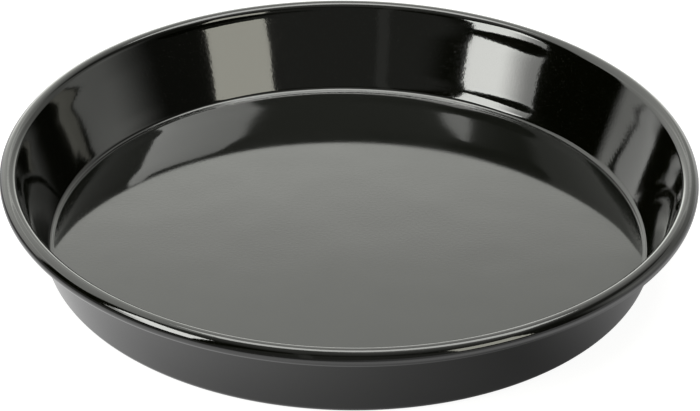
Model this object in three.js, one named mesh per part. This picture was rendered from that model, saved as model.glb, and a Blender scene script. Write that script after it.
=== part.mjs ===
// A round pizza pan: one pressed sheet of steel with a rolled rim, and a coat of fused enamel on each side.
// Millimetres, +Z up. The origin is the centre of the underside, where the pan stands.
import * as THREE from "three";

// The finished pan, measured over the enamel.
const RIM_DIAMETER = 320;
const HEIGHT = 44;
const WALL_TAPER = THREE.MathUtils.degToRad(18); // of the wall, from upright
const CORNER_RADIUS = 4; // between floor and wall, inside the pan
const BEAD_DIAMETER = 8; // of the rolled rim
const CURL_SLIT = 0.4; // left open between the curl's raw edge and the wall

// The layers of the sheet, from the food side to the oven side.
const INSIDE_ENAMEL = 0.2;
const SHEET = 0.7;
const OUTSIDE_ENAMEL = 0.2;
const BOND = 0.02; // clearance between the steel and each coat

// Facets of the round forms.
const TURN_STEPS = 64;
const CORNER_STEPS = 4;
const BEAD_STEPS = 12;

// Depths below the food side at which each layer starts and ends.
const STEEL_TOP = INSIDE_ENAMEL + BOND;
const STEEL_BOTTOM = STEEL_TOP + SHEET;
const COAT_TOP = STEEL_BOTTOM + BOND;
const WALL = COAT_TOP + OUTSIDE_ENAMEL;

// The bead's centre, and the centre of the corner whose arc the wall leaves at a tangent to the bead.
const BEAD_RADIUS = BEAD_DIAMETER / 2;
const BEAD_CENTRE = new THREE.Vector2(RIM_DIAMETER / 2 - BEAD_RADIUS, HEIGHT - BEAD_RADIUS);
const CORNER_HEIGHT = WALL + CORNER_RADIUS;
const WALL_RISE = BEAD_CENTRE.y - CORNER_HEIGHT;
const WALL_REACH =
  (CORNER_RADIUS + BEAD_RADIUS + WALL_RISE * Math.sin(WALL_TAPER)) / Math.cos(WALL_TAPER);
const CORNER_CENTRE = new THREE.Vector2(BEAD_CENTRE.x - WALL_REACH, CORNER_HEIGHT);

// The curl turns from the wall over the top and back under, until its raw edge nears the wall.
const CURL_START = Math.PI - WALL_TAPER;
const CURL_TURN = 2 * Math.PI - Math.acos((BEAD_RADIUS - WALL - CURL_SLIT) / BEAD_RADIUS);

// Points of an arc from one angle to another.
function arc(centre, radius, from, to, steps) {
  const points = [];
  for (let step = 0; step <= steps; step += 1) {
    const angle = from + ((to - from) * step) / steps;
    points.push(
      new THREE.Vector2(centre.x + radius * Math.cos(angle), centre.y + radius * Math.sin(angle)),
    );
  }
  return points;
}

// One line through the sheet's section at a depth below the food side, from the axis to the raw edge.
function sheetLine(depth) {
  const corner = arc(CORNER_CENTRE, CORNER_RADIUS + depth, -Math.PI / 2, -WALL_TAPER, CORNER_STEPS);
  const curl = arc(
    BEAD_CENTRE,
    BEAD_RADIUS - depth,
    CURL_START,
    CURL_START - CURL_TURN,
    BEAD_STEPS,
  );
  return [new THREE.Vector2(0, WALL - depth), ...corner, ...curl];
}

// A layer of the sheet between two depths, turned about the pan's axis.
function layer(name, top, bottom, material) {
  const section = [...sheetLine(bottom), ...sheetLine(top).reverse()];
  const geometry = new THREE.LatheGeometry(section, TURN_STEPS);
  geometry.rotateX(Math.PI / 2);
  const mesh = new THREE.Mesh(geometry, material);
  mesh.name = name;
  return mesh;
}

const steel = new THREE.MeshStandardMaterial({ color: 0x8d8f92, roughness: 0.4, metalness: 1 });
const enamel = new THREE.MeshStandardMaterial({ color: 0x0b0c0b, roughness: 0.12, metalness: 0 });

const pan = new THREE.Group();
pan.add(
  layer("inside_enamel", 0, INSIDE_ENAMEL, enamel),
  layer("steel_sheet", STEEL_TOP, STEEL_BOTTOM, steel),
  layer("outside_enamel", COAT_TOP, WALL, enamel),
);

export default pan;
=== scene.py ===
import math

import bpy
from mathutils import Matrix, Vector


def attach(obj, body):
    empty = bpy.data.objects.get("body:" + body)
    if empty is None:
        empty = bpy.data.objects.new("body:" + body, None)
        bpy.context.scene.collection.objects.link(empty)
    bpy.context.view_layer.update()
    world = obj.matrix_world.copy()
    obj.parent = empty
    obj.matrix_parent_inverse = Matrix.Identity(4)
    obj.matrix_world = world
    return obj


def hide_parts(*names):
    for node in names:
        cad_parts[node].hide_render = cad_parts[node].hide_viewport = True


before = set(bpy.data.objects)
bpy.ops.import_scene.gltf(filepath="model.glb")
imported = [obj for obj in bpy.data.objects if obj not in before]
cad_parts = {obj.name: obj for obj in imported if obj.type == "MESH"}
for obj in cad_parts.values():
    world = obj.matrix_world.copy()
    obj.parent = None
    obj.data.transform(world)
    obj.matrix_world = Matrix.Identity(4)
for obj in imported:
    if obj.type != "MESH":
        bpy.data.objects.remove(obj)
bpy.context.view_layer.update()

# The pan, in metres. These are the sizes of the solids.
RIM_DIAMETER = 0.320
HEIGHT = 0.044
WALL_TAPER = math.radians(18)
CORNER_RADIUS = 0.004
BEAD_RADIUS = 0.004
CURL_SLIT = 0.0004
INSIDE_ENAMEL = 0.0002
SHEET = 0.0007
OUTSIDE_ENAMEL = 0.0002
BOND = 0.00002

# The food side of the wall bows a little, as pressed walls do, and not quite evenly round the pan. This is in
# its normals alone, so it shows only in what the wall mirrors. Degrees that the surface leans back at the
# corner, dip, foot, shoulder, neck and rim, in the middle and at the ends of the left and right halves:
LEAN_LEFT = (26.5, 26.3, 26.1, 25.0, 23.5, 12.0)
LEAN_RIGHT = (29.0, 18.5, 26.1, 25.0, 17.0, 23.0)
LEAN_LEFT_END = (30.5, 30.0, 29.2, 25.6, 22.5, 23.0)
LEAN_RIGHT_END = (31.5, 31.0, 30.2, 27.0, 24.5, 24.5)

# Shares of the wall's height at which the leans between the corner and the rim lie.
DIP = 0.09
FOOT = 0.22
SHOULDER = 0.69
NECK = 0.90

# Cosines of the angle round the pan: where the ends start, lean by lean, and how far the blends reach.
ENDS_START = (0.72, 0.60, 0.72, 0.72, 0.58, 0.58)
ENDS_BLEND = 0.14
HALVES_BLEND = 0.2

# Further normals of the food side: the corner turns late and quickly, the lean ends on the bead, and the
# pressed floor dips a little towards its middle.
CORNER_FLAT = 0.20
RIM_SETTLES = math.radians(40)
FLOOR_DISH = math.radians(1.1)

# Facets of the smooth forms.
TURNS = 360
CORNER_STEPS = 14
WALL_STEPS = 24
BEAD_STEPS = 56
FLOOR_RINGS = (0.02, 0.06, 0.10, 0.128)

# Depths below the food side at which each layer starts and ends.
STEEL_TOP = INSIDE_ENAMEL + BOND
STEEL_BOTTOM = STEEL_TOP + SHEET
COAT_TOP = STEEL_BOTTOM + BOND
SECTION = COAT_TOP + OUTSIDE_ENAMEL

BEAD_CENTRE = Vector((RIM_DIAMETER / 2 - BEAD_RADIUS, HEIGHT - BEAD_RADIUS))
CORNER_HEIGHT = SECTION + CORNER_RADIUS
WALL_RISE = BEAD_CENTRE.y - CORNER_HEIGHT
WALL_REACH = (CORNER_RADIUS + BEAD_RADIUS + WALL_RISE * math.sin(WALL_TAPER)) / math.cos(WALL_TAPER)
CORNER_CENTRE = Vector((BEAD_CENTRE.x - WALL_REACH, CORNER_HEIGHT))
CURL_END = -math.pi - WALL_TAPER + math.acos((BEAD_RADIUS - SECTION - CURL_SLIT) / BEAD_RADIUS)

# The enamel. Scales are a noise's features in a metre, and specks and clouds are ranges of a noise. The floor
# and the underside lie below the two levels, where a lighter colour is painted sheen.
ENAMEL_DARK = (0.0012, 0.0014, 0.0003, 1)
ENAMEL_CLOUD = (0.0020, 0.0023, 0.0007, 1)
ENAMEL_SPECK = (0.012, 0.012, 0.010, 1)
ENAMEL_FLOOR_SHEEN = (0.011, 0.012, 0.0095, 1)
ENAMEL_ROUGHNESS = (0.05, 0.08)
SPECK_ROUGHNESS = 0.12
ENAMEL_IOR = 1.55
COAT_IOR = 1.5
COAT_ROUGHNESS = 0.05
CLOUD_SCALE = 38.0
WAVE_SCALE = 26.0
PEEL_SCALE = 800.0
SPECK_SCALE = 1500.0
SPECKS = (0.74, 0.80)
CLOUDS = (0.3, 0.7)
FLOOR_LEVELS = (0.0012, 0.0016)
WAVE_DEPTH = 0.0003
WAVE_ON_FLOOR = 0.10
PEEL_DEPTH = 0.000009
PEEL_ON_FLOOR = 0.4

# The bare steel.
STEEL_BRIGHT = (0.46, 0.465, 0.47, 1)
STEEL_TARNISH = (0.30, 0.29, 0.28, 1)
STEEL_ROUGHNESS = (0.28, 0.48)
TARNISH_SCALE = 160.0
DRAWN_LINES = (60.0, 60.0, 2400.0)
DRAWN_RANGE = (0.3, 0.7)
DRAWN_DEPTH = 0.00001

# The camera, fitted to the outlines of the rim, the bead and the base. Pixels are of a 700 by 411 image.
IMAGE_WIDTH = 700
CAMERA_PLACE = Vector((0.0, -1.00529, 0.63325))
CAMERA_PITCH = math.radians(31.51)
CAMERA_YAW = math.radians(0.03)
CAMERA_ROLL = math.radians(0.80)
CAMERA_CLIP = (0.01, 50.0)
FOCAL_PIXELS = 2534.24
SENSOR = 36.0

# The studio's panels: place, facing, width and height in metres, and radiance, where 1 is white.
OVERHEAD_PLACE = (0.245, 0.68, 2.5)
OVERHEAD_FACING = (0.0, 0.0, -1.0)
OVERHEAD_SIZE = (2.11, 1.08)
OVERHEAD_LIGHT = 3.5
LEFT_PLACE = (-1.316, -0.838, 0.86)
LEFT_FACING = (1.0, 0.12, 0.0)
LEFT_SIZE = (0.895, 1.16)
LEFT_LIGHT = 7.4
RIGHT_PLACE = (1.088, -1.199, 0.745)
RIGHT_FACING = (-0.85, 0.53, 0.0)
RIGHT_SIZE = (0.69, 0.89)
RIGHT_LIGHT = 3.1
PANEL_TINT = (0.99, 1.0, 0.96)
RIGHT_TINT = (1.0, 0.99, 0.86)

# The left panel's dim corner: its level, and the shares of the width and height that it fades over.
LEFT_CORNER = 0.25
LEFT_CORNER_ACROSS = (0.05, 0.50)
LEFT_CORNER_UP = (0.25, 0.45)

# The studio's walls, as gloss mirrors them: levels, where 1 is white, and then the stretches over which they
# change, in X, Y or Z of the direction in which a wall lies.
BACK_SIDES = (1.22, 0.42)
BACK_BAND = (1.70, 1.05)
BACK_LOW = 0.58
BACK_HORIZON = 2.2
BACK_HORIZON_SIDES = 0.75
BACK_TWICE = 0.75
BACK_HIGH = 0.8
RIGHT_GLOW = 1.9
FRONT_WALL = 0.12
SIDE_WALL = 0.03
CEILING = 0.28
CEILING_TWICE = 0.9
STREAK = 0.10
FILL = 0.15
STUDIO_TINT = (0.985, 1.0, 0.945, 1)
WHITE = (1.0, 1.0, 1.0, 1)

BACK_SIDES_X = (-0.30, 0.60)
BACK_BAND_Z = (0.521, 0.5386)
BACK_LOW_Z = (0.485, 0.516)
HORIZON_Z = (0.10, 0.30)
HORIZON_MIDDLE_X = 0.1
HORIZON_ENDS_X = (0.35, 0.70)
RIGHT_GLOW_X = (0.85, 0.97)
BACK_HIGH_Z = (0.45, 0.60)
BACK_HIGH_X = (0.45, 0.65)
BACK_TWICE_Z = (0.55, 0.68)
SIDE_WALL_X = (-0.2, 0.2)
FRONT_WALL_Y = (-0.85, -0.72)
CEILING_Z = (0.60, 0.97)
CEILING_TWICE_X = (-0.42, -0.30)
STREAK_LEFT_X = (-0.24, -0.21)
STREAK_RIGHT_X = (-0.17, -0.14)
STREAK_Y = (-0.6, -0.5)
LEFT_TURN_Y = (0.24, 0.33)
LEFT_TURN_HIGH = 0.22
LEFT_TURN_HIGH_Z = (0.42, 0.55)
RIGHT_TURN_Y = (-0.30, 0.12)
HALVES_X = (-0.1, 0.1)

# The table: half width and drop in metres, what the camera sees with a painted shadow under the pan, and the
# painted light and shade that gloss mirrors.
TABLE_REACH = 4.0
TABLE_DROP = 0.0002
TABLE_COLOUR = (0.55, 0.55, 0.53, 1)
TABLE_BLACK = (0.0, 0.0, 0.0, 1)
TABLE_GLOW = 0.92
TABLE_PAINTED_SHADOW = 0.55
TABLE_AT_FOOT = (0.72, 0.05)
TABLE_AT_RIGHT = 0.22
TABLE_IN_SHADE = 0.75
TABLE_AROUND = (0.88, 0.25)
TABLE_SIDES = (0.13, 0.40)
TABLE_BEHIND = 0.75

# Where the table changes: metres along X and Y and from the pan's axis, then X and Y of the bearing.
SHADOW_REACH = (0.138, 0.172)
FOOT_X = (-0.15, 0.15)
FOOT_RIGHT_X = (0.08, 0.15)
FOOT_SHADE_REACH = (0.138, 0.165)
AROUND_Y = (-0.19, 0.19)
AROUND_REACH = (0.158, 0.200)
FAR_REACH = (0.215, 0.290)
SIDES_BEARING_X = (-0.3, 0.5)
BEHIND_BEARING_Y = (0.35, 0.65)

RISE = (0.0, 1.0)
FALL = (1.0, 0.0)


def unit(angle):
    """The unit vector at an angle in the section plane."""
    return Vector((math.cos(angle), math.sin(angle)))


def smooth(share):
    """An ease from 0 to 1."""
    share = min(max(share, 0.0), 1.0)
    return share * share * (3 - 2 * share)


def mix(first, second, share):
    """A value between two others."""
    return first + (second - first) * share


def even_corner(share):
    """How far the normals have turned at a share of the corner's arc."""
    return share


def tight_corner(share):
    """The same for the food side, whose corner turns late and quickly."""
    return smooth((share - CORNER_FLAT) / (1 - CORNER_FLAT))


def straight_wall(share):
    """The lean of a straight wall at a share of its height."""
    return WALL_TAPER


def bowed_wall(phi):
    """The lean of the food side at an angle round the pan, as a function of the share of its height."""
    side = smooth((math.cos(phi) + HALVES_BLEND) / (2 * HALVES_BLEND))
    middle = [mix(left, right, side) for left, right in zip(LEAN_LEFT, LEAN_RIGHT)]
    end = [mix(left, right, side) for left, right in zip(LEAN_LEFT_END, LEAN_RIGHT_END)]
    ends = [smooth((abs(math.cos(phi)) - start) / ENDS_BLEND) for start in ENDS_START]
    corner, dip, foot, shoulder, neck, rim = map(math.radians, map(mix, middle, end, ends))

    def lean(share):
        bow = corner + (dip - corner) * smooth(share / DIP)
        bow += (foot - dip) * smooth((share - DIP) / (FOOT - DIP))
        bow += (shoulder - foot) * min(max(share - FOOT, 0.0) / (SHOULDER - FOOT), 1.0)
        bow += (neck - shoulder) * smooth((share - SHOULDER) / (NECK - SHOULDER))
        return bow + (rim - neck) * smooth((share - NECK) / (1 - NECK))

    return lean


def sheet_line(depth, corner, lean):
    """Points and food-side normals of a line through the sheet's section, from the axis to the raw edge."""
    line = [(Vector((0.0, SECTION - depth)), Vector((0.0, 1.0)))]
    for ring in FLOOR_RINGS:
        facing = unit(math.pi / 2 + FLOOR_DISH * ring / FLOOR_RINGS[-1])
        line.append((Vector((ring, SECTION - depth)), facing))
    for step in range(CORNER_STEPS + 1):
        share = step / CORNER_STEPS
        place = unit(-math.pi / 2 + (math.pi / 2 - WALL_TAPER) * share)
        facing = unit(-math.pi / 2 + (math.pi / 2 - lean(0.0)) * corner(share))
        line.append((CORNER_CENTRE + place * (CORNER_RADIUS + depth), -facing))
    curl_start = math.pi - WALL_TAPER
    foot = line[-1][0]
    head = BEAD_CENTRE + unit(curl_start) * (BEAD_RADIUS - depth)
    for step in range(1, WALL_STEPS):
        share = step / WALL_STEPS
        line.append((foot.lerp(head, share), unit(math.pi - lean(share))))
    for step in range(BEAD_STEPS + 1):
        angle = curl_start + (CURL_END - curl_start) * step / BEAD_STEPS
        settle = (lean(1.0) - WALL_TAPER) * (1 - smooth((curl_start - angle) / RIM_SETTLES))
        line.append((BEAD_CENTRE + unit(angle) * (BEAD_RADIUS - depth), unit(angle - settle)))
    return line


def layer(name, top, bottom, material):
    """One layer of the sheet between two depths, turned about the pan's axis, with normals of its own."""
    angles = [2 * math.pi * turn / TURNS for turn in range(TURNS)]
    under = [(place, -normal) for place, normal in sheet_line(bottom, even_corner, straight_wall)]
    sections = [under + sheet_line(top, tight_corner, bowed_wall(phi))[::-1] for phi in angles]
    points = [place for place, normal in sections[0]]
    edge = len(under) - 1
    lip = unit(CURL_END - math.pi / 2)

    rings = []
    vertices = []
    for place in points:
        if place.x == 0.0:
            rings.append([len(vertices)] * TURNS)
            vertices.append((0.0, 0.0, place.y))
            continue
        first = len(vertices)
        rings.append([first + turn for turn in range(TURNS)])
        for phi in angles:
            vertices.append((place.x * math.cos(phi), place.x * math.sin(phi), place.y))

    def turned(face, index, turn):
        normal = lip if face == edge else sections[turn][index][1]
        phi = angles[turn]
        return (normal.x * math.cos(phi), normal.x * math.sin(phi), normal.y)

    faces = []
    normals = []
    for index in range(len(points) - 1):
        for turn in range(TURNS):
            following = (turn + 1) % TURNS
            corners = [
                (rings[index][turn], turned(index, index, turn)),
                (rings[index][following], turned(index, index, following)),
                (rings[index + 1][following], turned(index, index + 1, following)),
                (rings[index + 1][turn], turned(index, index + 1, turn)),
            ]
            if points[index].x == 0.0:
                corners.pop(1)
            elif points[index + 1].x == 0.0:
                corners.pop(2)
            faces.append([corner for corner, normal in corners])
            normals.extend(normal for corner, normal in corners)

    mesh = bpy.data.meshes.new(name)
    mesh.from_pydata(vertices, [], faces)
    mesh.polygons.foreach_set("use_smooth", [True] * len(faces))
    mesh.update()
    mesh.normals_split_custom_set(normals)
    mesh.materials.append(material)
    piece = bpy.data.objects.new(name, mesh)
    bpy.context.scene.collection.objects.link(piece)
    return piece


class Nodes:
    """A short way to add and join the nodes of one material, world or light."""

    def __init__(self, tree):
        self.tree = tree
        self.tree.nodes.clear()

    def add(self, kind, inputs=None, **settings):
        node = self.tree.nodes.new(kind)
        for key, value in settings.items():
            setattr(node, key, value)
        for key, value in (inputs or {}).items():
            if isinstance(value, bpy.types.NodeSocket):
                self.tree.links.new(value, node.inputs[key])
            else:
                node.inputs[key].default_value = value
        return node

    def axes(self, vector):
        return self.add("ShaderNodeSeparateXYZ", {"Vector": vector}).outputs

    def noise(self, vector, scale, detail, roughness):
        inputs = {"Vector": vector, "Scale": scale, "Detail": detail, "Roughness": roughness}
        return self.add("ShaderNodeTexNoise", inputs).outputs["Fac"]

    def span(self, value, stretch, levels, kind="SMOOTHSTEP"):
        """A level that goes from the first to the second while the value crosses a stretch."""
        inputs = {
            "Value": value,
            "From Min": stretch[0],
            "From Max": stretch[1],
            "To Min": levels[0],
            "To Max": levels[1],
        }
        return self.add("ShaderNodeMapRange", inputs, interpolation_type=kind).outputs["Result"]

    def evenly(self, value, stretch, levels):
        """The same without an ease at the ends."""
        return self.span(value, stretch, levels, kind="LINEAR")

    def without(self, share):
        """What a share leaves of 1."""
        return self.evenly(share, RISE, FALL)

    def times(self, first, second):
        return self.add("ShaderNodeMath", {0: first, 1: second}, operation="MULTIPLY").outputs["Value"]

    def plus(self, first, second):
        return self.add("ShaderNodeMath", {0: first, 1: second}, operation="ADD").outputs["Value"]

    def absolute(self, value):
        return self.add("ShaderNodeMath", {0: value}, operation="ABSOLUTE").outputs["Value"]

    def blend(self, factor, first, second):
        return self.add("ShaderNodeMix", {"Factor": factor, "A": first, "B": second}).outputs["Result"]

    def colour(self, factor, first, second):
        inputs = {"Factor": factor, "A": first, "B": second}
        return self.add("ShaderNodeMix", inputs, data_type="RGBA").outputs["Result"]

    def mirrored(self, path):
        """1 for rays that come off gloss or through glass."""
        inputs = {0: path["Is Glossy Ray"], 1: path["Is Transmission Ray"]}
        return self.add("ShaderNodeMath", inputs, operation="MAXIMUM").outputs["Value"]

    def bump(self, height, distance, normal=None):
        inputs = {"Height": height, "Distance": distance}
        if normal is not None:
            inputs["Normal"] = normal
        return self.add("ShaderNodeBump", inputs).outputs["Normal"]


def new_material(name):
    material = bpy.data.materials.new(name)
    material.use_nodes = True
    return material, Nodes(material.node_tree)


def enamel_material():
    """Fired black glass: nearly black, glossy, with orange peel, slow waves and a few fine specks."""
    material, nodes = new_material("black_enamel")
    place = nodes.add("ShaderNodeTexCoord").outputs["Object"]
    cloud = nodes.noise(place, CLOUD_SCALE, detail=4.0, roughness=0.6)
    peel = nodes.noise(place, PEEL_SCALE, detail=1.0, roughness=0.5)
    wave = nodes.noise(place, WAVE_SCALE, detail=1.0, roughness=0.4)
    grain = nodes.noise(place, SPECK_SCALE, detail=0.0, roughness=0.5)
    speck = nodes.span(grain, SPECKS, RISE)
    flat = nodes.span(nodes.axes(place)["Z"], FLOOR_LEVELS, FALL)

    colour = nodes.colour(cloud, ENAMEL_DARK, ENAMEL_CLOUD)
    colour = nodes.colour(speck, colour, ENAMEL_SPECK)
    # Painted sheen: the floor and the underside take a lighter colour.
    colour = nodes.colour(flat, colour, ENAMEL_FLOOR_SHEEN)

    rough = nodes.evenly(cloud, CLOUDS, ENAMEL_ROUGHNESS)
    rough = nodes.plus(rough, nodes.span(speck, RISE, (0.0, SPECK_ROUGHNESS)))

    wave = nodes.times(wave, nodes.span(flat, RISE, (1.0, WAVE_ON_FLOOR)))
    peel = nodes.times(peel, nodes.span(flat, RISE, (1.0, PEEL_ON_FLOOR)))
    normal = nodes.bump(wave, WAVE_DEPTH)
    normal = nodes.bump(peel, PEEL_DEPTH, normal)

    shader = nodes.add(
        "ShaderNodeBsdfPrincipled",
        {
            "Base Color": colour,
            "Roughness": rough,
            "IOR": ENAMEL_IOR,
            "Coat Weight": 1.0,
            "Coat Roughness": COAT_ROUGHNESS,
            "Coat IOR": COAT_IOR,
            "Normal": normal,
            "Coat Normal": normal,
        },
    )
    nodes.add("ShaderNodeOutputMaterial", {"Surface": shader.outputs["BSDF"]})
    return material


def steel_material():
    """Bare pressed sheet: grey, drawn lines round the pan and a little tarnish."""
    material, nodes = new_material("pressed_steel")
    place = nodes.add("ShaderNodeTexCoord").outputs["Object"]
    drawn = nodes.add("ShaderNodeMapping", {"Vector": place, "Scale": DRAWN_LINES}).outputs["Vector"]
    lines = nodes.noise(drawn, scale=1.0, detail=3.0, roughness=0.6)
    tarnish = nodes.noise(place, TARNISH_SCALE, detail=4.0, roughness=0.6)
    shader = nodes.add(
        "ShaderNodeBsdfPrincipled",
        {
            "Base Color": nodes.colour(tarnish, STEEL_BRIGHT, STEEL_TARNISH),
            "Metallic": 1.0,
            "Roughness": nodes.evenly(lines, DRAWN_RANGE, STEEL_ROUGHNESS),
            "Normal": nodes.bump(lines, DRAWN_DEPTH),
        },
    )
    nodes.add("ShaderNodeOutputMaterial", {"Surface": shader.outputs["BSDF"]})
    return material


def make_pan():
    """The three layers of the pan, each in the place of its solid."""
    enamel = enamel_material()
    steel = steel_material()
    layers = (
        ("pan_inside_enamel", "inside_enamel", 0.0, INSIDE_ENAMEL, enamel, "black_enamel"),
        ("pan_steel_sheet", "steel_sheet", STEEL_TOP, STEEL_BOTTOM, steel, "pressed_steel"),
        ("pan_outside_enamel", "outside_enamel", COAT_TOP, SECTION, enamel, "black_enamel"),
    )
    for name, node, top, bottom, material, slot in layers:
        piece = layer(name, top, bottom, material)
        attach(piece, "root")
        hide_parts(node)


def table_painted_glow(nodes, place, reach):
    """Painted light and shade that gloss mirrors of the table: at the pan's foot, in a ring around it, and
    further off.
    """
    axes = nodes.axes(place)
    bearing = nodes.add("ShaderNodeVectorMath", {0: place}, operation="NORMALIZE").outputs["Vector"]
    bearing = nodes.axes(bearing)

    foot = nodes.span(axes["X"], FOOT_X, TABLE_AT_FOOT)
    foot = nodes.plus(foot, nodes.span(axes["X"], FOOT_RIGHT_X, (0.0, TABLE_AT_RIGHT)))
    foot = nodes.times(foot, nodes.span(reach, FOOT_SHADE_REACH, (TABLE_IN_SHADE, 1.0)))
    around = nodes.evenly(axes["Y"], AROUND_Y, TABLE_AROUND)
    sides = nodes.span(bearing["X"], SIDES_BEARING_X, TABLE_SIDES)
    far = nodes.blend(nodes.span(bearing["Y"], BEHIND_BEARING_Y, RISE), sides, TABLE_BEHIND)

    near = nodes.blend(nodes.span(reach, AROUND_REACH, RISE), foot, around)
    return nodes.blend(nodes.span(reach, FAR_REACH, RISE), near, far)


def table_material():
    """Pale and matt, with a painted shadow under the pan and painted light and shade for gloss, and clear to
    a camera below it.
    """
    material, nodes = new_material("table_white")
    place = nodes.add("ShaderNodeTexCoord").outputs["Object"]
    reach = nodes.add("ShaderNodeVectorMath", {0: place}, operation="LENGTH").outputs["Value"]
    path = nodes.add("ShaderNodeLightPath").outputs
    mirrored = nodes.mirrored(path)

    # Painted shadow: the table's colour darkens under the pan's rim, round its foot.
    lit = nodes.span(reach, SHADOW_REACH, (TABLE_PAINTED_SHADOW, 1.0))
    colour = nodes.colour(nodes.times(lit, nodes.without(mirrored)), TABLE_BLACK, TABLE_COLOUR)
    matt = nodes.add("ShaderNodeBsdfDiffuse", {"Color": colour}).outputs["BSDF"]

    # Painted light and shade: a glow of the table that only gloss and glass see, darker at the pan's foot.
    painted_glow = nodes.times(mirrored, table_painted_glow(nodes, place, reach))
    glow = nodes.blend(path["Is Camera Ray"], painted_glow, TABLE_GLOW)
    white = nodes.add("ShaderNodeEmission", {"Strength": glow}).outputs["Emission"]
    top = nodes.add("ShaderNodeAddShader", {0: matt, 1: white}).outputs["Shader"]

    backfacing = nodes.add("ShaderNodeNewGeometry").outputs["Backfacing"]
    below = nodes.times(backfacing, path["Is Camera Ray"])
    clear = nodes.add("ShaderNodeBsdfTransparent").outputs["BSDF"]
    surface = nodes.add("ShaderNodeMixShader", {0: below, 1: top, 2: clear}).outputs["Shader"]
    nodes.add("ShaderNodeOutputMaterial", {"Surface": surface})
    return material


def make_floor():
    """A wide pale table top, which keeps the pan's shadow, with a painted shadow added round the pan's foot.
    """
    reach = TABLE_REACH
    mesh = bpy.data.meshes.new("table")
    corners = [(-reach, -reach, 0.0), (reach, -reach, 0.0), (reach, reach, 0.0), (-reach, reach, 0.0)]
    mesh.from_pydata(corners, [], [(0, 1, 2, 3)])
    mesh.materials.append(table_material())
    table = bpy.data.objects.new("table", mesh)
    table.location.z = -TABLE_DROP
    bpy.context.scene.collection.objects.link(table)


def back_wall(nodes, axes, again):
    """The pale wall behind the pan. Gloss that is mirrored again sees it dimmer high up."""
    middle = nodes.absolute(nodes.plus(axes["X"], -HORIZON_MIDDLE_X))
    horizon = nodes.span(middle, HORIZON_ENDS_X, (BACK_HORIZON, BACK_HORIZON_SIDES))
    high = nodes.span(axes["Z"], BACK_HIGH_Z, RISE)
    high = nodes.times(high, nodes.span(axes["X"], BACK_HIGH_X, (0.0, BACK_HIGH)))
    twice = nodes.times(again, nodes.span(axes["Z"], BACK_TWICE_Z, (0.0, BACK_TWICE)))

    wall = nodes.evenly(axes["X"], BACK_SIDES_X, BACK_SIDES)
    wall = nodes.times(wall, nodes.span(axes["Z"], BACK_BAND_Z, BACK_BAND))
    wall = nodes.times(wall, nodes.span(axes["Z"], BACK_LOW_Z, (BACK_LOW, 1.0)))
    wall = nodes.times(wall, nodes.span(axes["Z"], HORIZON_Z, (horizon, 1.0)))
    wall = nodes.times(wall, nodes.span(axes["X"], RIGHT_GLOW_X, (1.0, RIGHT_GLOW)))
    wall = nodes.times(wall, nodes.without(high))
    return nodes.times(wall, nodes.without(twice))


def front_wall(nodes, axes, again):
    """The dark side of the studio, with its ceiling and one pale streak."""
    dark = nodes.span(axes["X"], SIDE_WALL_X, (0.0, SIDE_WALL))
    wall = nodes.span(axes["Y"], FRONT_WALL_Y, (FRONT_WALL, dark))

    unlit = nodes.times(again, nodes.span(axes["X"], CEILING_TWICE_X, (CEILING_TWICE, 0.0)))
    ceiling = nodes.span(axes["Z"], CEILING_Z, (0.0, CEILING))
    wall = nodes.plus(wall, nodes.times(ceiling, nodes.without(unlit)))

    streak = nodes.span(axes["X"], STREAK_LEFT_X, (0.0, STREAK))
    streak = nodes.times(streak, nodes.span(axes["X"], STREAK_RIGHT_X, FALL))
    streak = nodes.times(streak, nodes.span(axes["Y"], STREAK_Y, FALL))
    return nodes.plus(wall, streak)


def make_world():
    """Studio walls: pale behind the pan, dark behind the camera. The camera itself sees white."""
    world = bpy.data.worlds.new("studio")
    bpy.context.scene.world = world
    world.use_nodes = True
    nodes = Nodes(world.node_tree)
    path = nodes.add("ShaderNodeLightPath").outputs
    axes = nodes.axes(nodes.add("ShaderNodeTexCoord").outputs["Generated"])
    again = nodes.evenly(path["Glossy Depth"], (1.0, 2.0), RISE)

    raised = nodes.span(axes["Z"], LEFT_TURN_HIGH_Z, (0.0, LEFT_TURN_HIGH))
    raised = nodes.times(nodes.without(again), raised)
    left_turn = nodes.span(nodes.plus(axes["Y"], raised), LEFT_TURN_Y, RISE)
    right_turn = nodes.span(axes["Y"], RIGHT_TURN_Y, RISE)
    behind = nodes.blend(nodes.span(axes["X"], HALVES_X, RISE), left_turn, right_turn)
    walls = nodes.blend(behind, front_wall(nodes, axes, again), back_wall(nodes, axes, again))

    studio = nodes.blend(nodes.mirrored(path), FILL, walls)
    strength = nodes.blend(path["Is Camera Ray"], studio, 1.0)
    colour = nodes.colour(path["Is Camera Ray"], STUDIO_TINT, WHITE)
    background = nodes.add("ShaderNodeBackground", {"Strength": strength, "Color": colour})
    nodes.add("ShaderNodeOutputWorld", {"Surface": background.outputs["Background"]})


def make_panel(name, centre, facing, size, radiance, tint):
    """A flat soft light of a given radiance. It lights and reflects, and the camera looks through it."""
    width, height = size
    lamp = bpy.data.lights.new(name, "AREA")
    lamp.shape = "RECTANGLE"
    lamp.size = width
    lamp.size_y = height
    lamp.energy = radiance * math.pi * width * height
    lamp.color = tint
    panel = bpy.data.objects.new(name, lamp)
    panel.location = centre
    panel.rotation_euler = Vector(facing).to_track_quat("-Z", "Y").to_euler()
    panel.visible_camera = False
    bpy.context.scene.collection.objects.link(panel)
    return lamp


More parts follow.
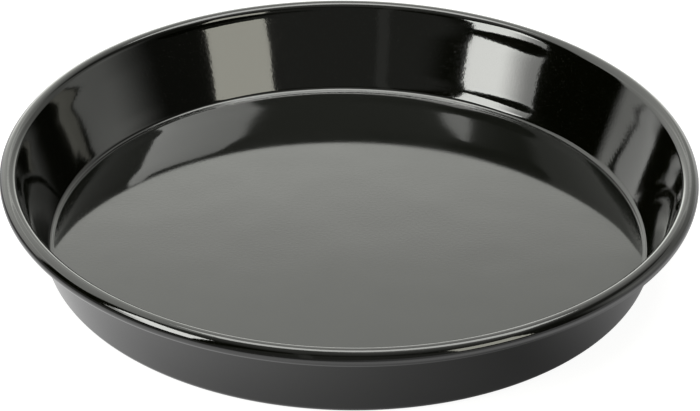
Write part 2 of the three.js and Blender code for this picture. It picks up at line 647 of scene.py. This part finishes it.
def fade_corner(lamp, dimmest, across, up):
    """Dim a panel towards one lower corner, as a softbox with its lamp off centre does."""
    lamp.use_nodes = True
    nodes = Nodes(lamp.node_tree)
    axes = nodes.axes(nodes.add("ShaderNodeNewGeometry").outputs["Parametric"])
    corner = nodes.times(nodes.span(axes["X"], across, FALL), nodes.span(axes["Y"], up, FALL))
    glow = nodes.add("ShaderNodeEmission", {"Strength": nodes.evenly(corner, RISE, (1.0, dimmest))})
    nodes.add("ShaderNodeOutputLight", {"Surface": glow.outputs["Emission"]})


def make_lights():
    make_panel("overhead_panel", OVERHEAD_PLACE, OVERHEAD_FACING, OVERHEAD_SIZE, OVERHEAD_LIGHT, PANEL_TINT)
    left = make_panel("left_softbox", LEFT_PLACE, LEFT_FACING, LEFT_SIZE, LEFT_LIGHT, PANEL_TINT)
    fade_corner(left, LEFT_CORNER, LEFT_CORNER_ACROSS, LEFT_CORNER_UP)
    make_panel("right_softbox", RIGHT_PLACE, RIGHT_FACING, RIGHT_SIZE, RIGHT_LIGHT, RIGHT_TINT)


def make_camera():
    """The camera at its fitted place, turned by its yaw, pitch and roll."""
    level = Vector((math.cos(CAMERA_YAW), -math.sin(CAMERA_YAW), 0.0))
    ahead = Vector((math.sin(CAMERA_YAW), math.cos(CAMERA_YAW), 0.0))
    forward = math.cos(CAMERA_PITCH) * ahead - math.sin(CAMERA_PITCH) * Vector((0.0, 0.0, 1.0))
    upright = level.cross(forward)
    right = math.cos(CAMERA_ROLL) * level + math.sin(CAMERA_ROLL) * upright
    up = math.cos(CAMERA_ROLL) * upright - math.sin(CAMERA_ROLL) * level
    lens = bpy.data.cameras.new("camera")
    lens.sensor_fit = "HORIZONTAL"
    lens.sensor_width = SENSOR
    lens.lens = FOCAL_PIXELS / IMAGE_WIDTH * SENSOR
    lens.clip_start, lens.clip_end = CAMERA_CLIP
    camera = bpy.data.objects.new("camera", lens)
    turn = Matrix((right, up, -forward)).transposed()
    camera.matrix_world = Matrix.Translation(CAMERA_PLACE) @ turn.to_4x4()
    bpy.context.scene.collection.objects.link(camera)
    bpy.context.scene.camera = camera


make_pan()
make_floor()
make_world()
make_lights()
make_camera()
bpy.context.scene.view_settings.view_transform = "Standard"
